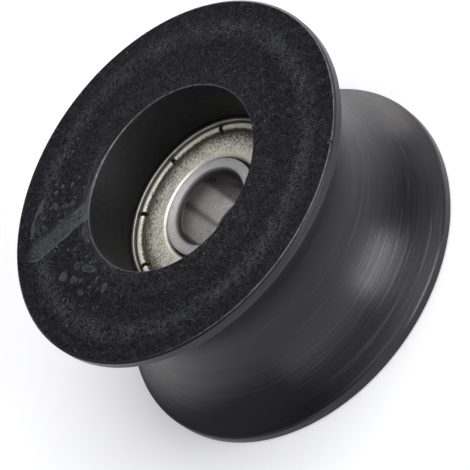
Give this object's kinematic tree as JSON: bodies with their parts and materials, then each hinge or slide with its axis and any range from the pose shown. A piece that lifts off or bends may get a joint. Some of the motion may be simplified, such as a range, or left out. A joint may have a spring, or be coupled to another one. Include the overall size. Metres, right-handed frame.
{
  "type": "guide pulley",
  "caption": "Nylon guide pulley with a round rope groove and a shielded ball bearing pressed deep into its bore.",
  "frame": {"origin": "middle of the roller's width, on its axis", "axes": "+Z along the axis of rotation, out of the face that the bearing is pressed in from; X and Y across the roller"},
  "size_m": [0.051, 0.051, 0.0254],
  "materials": {
    "nylon": "black cast nylon, satin where it was turned, with fine turning lines",
    "ring_steel": "ground bearing steel, fine lines round the axis",
    "shield_zinc": "zinc plated pressed sheet, fine even grain, slightly yellow",
    "cage_steel": "pressed sheet steel",
    "ball_steel": "polished"
  },
  "bodies": {
    "pulley": {"roller": "nylon", "bearing_outer_ring": "ring_steel", "front_shield": "shield_zinc", "rear_shield": "shield_zinc"},
    "inner_ring": {"bearing_inner_ring": "ring_steel"},
    "cage": {"cage_front_half": "cage_steel", "cage_rear_half": "cage_steel", "cage_rivets": "cage_steel"},
    "ball_1": {"ball_1": "ball_steel"},
    "ball_2": {"ball_2": "ball_steel"},
    "ball_3": {"ball_3": "ball_steel"},
    "ball_4": {"ball_4": "ball_steel"},
    "ball_5": {"ball_5": "ball_steel"},
    "ball_6": {"ball_6": "ball_steel"},
    "ball_7": {"ball_7": "ball_steel"}
  },
  "joints": [
    {"name": "inner_ring_spin", "type": "hinge", "parent": "pulley", "child": "inner_ring", "pos_m": [0, 0, 0.0005], "axis": [0, 0, 1], "continuous": true},
    {"name": "cage_spin", "type": "hinge", "parent": "pulley", "child": "cage", "pos_m": [0, 0, 0.0005], "axis": [0, 0, 1], "continuous": true},
    {"name": "ball_1_spin", "type": "hinge", "parent": "cage", "child": "ball_1", "pos_m": [0.009, 0, 0.0005], "axis": [0, 0, 1], "continuous": true},
    {"name": "ball_2_spin", "type": "hinge", "parent": "cage", "child": "ball_2", "pos_m": [0.00561, 0.00704, 0.0005], "axis": [0, 0, 1], "continuous": true},
    {"name": "ball_3_spin", "type": "hinge", "parent": "cage", "child": "ball_3", "pos_m": [-0.002, 0.00877, 0.0005], "axis": [0, 0, 1], "continuous": true},
    {"name": "ball_4_spin", "type": "hinge", "parent": "cage", "child": "ball_4", "pos_m": [-0.00811, 0.0039, 0.0005], "axis": [0, 0, 1], "continuous": true},
    {"name": "ball_5_spin", "type": "hinge", "parent": "cage", "child": "ball_5", "pos_m": [-0.00811, -0.0039, 0.0005], "axis": [0, 0, 1], "continuous": true},
    {"name": "ball_6_spin", "type": "hinge", "parent": "cage", "child": "ball_6", "pos_m": [-0.002, -0.00877, 0.0005], "axis": [0, 0, 1], "continuous": true},
    {"name": "ball_7_spin", "type": "hinge", "parent": "cage", "child": "ball_7", "pos_m": [0.00561, -0.00704, 0.0005], "axis": [0, 0, 1], "continuous": true}
  ],
  "couplings": [
    {"joint": "cage_spin", "follows": "inner_ring_spin", "ratio": 0.36769},
    {"joint": "ball_1_spin", "follows": "inner_ring_spin", "ratio": -1.7572},
    {"joint": "ball_2_spin", "follows": "inner_ring_spin", "ratio": -1.7572},
    {"joint": "ball_3_spin", "follows": "inner_ring_spin", "ratio": -1.7572},
    {"joint": "ball_4_spin", "follows": "inner_ring_spin", "ratio": -1.7572},
    {"joint": "ball_5_spin", "follows": "inner_ring_spin", "ratio": -1.7572},
    {"joint": "ball_6_spin", "follows": "inner_ring_spin", "ratio": -1.7572},
    {"joint": "ball_7_spin", "follows": "inner_ring_spin", "ratio": -1.7572}
  ]
}
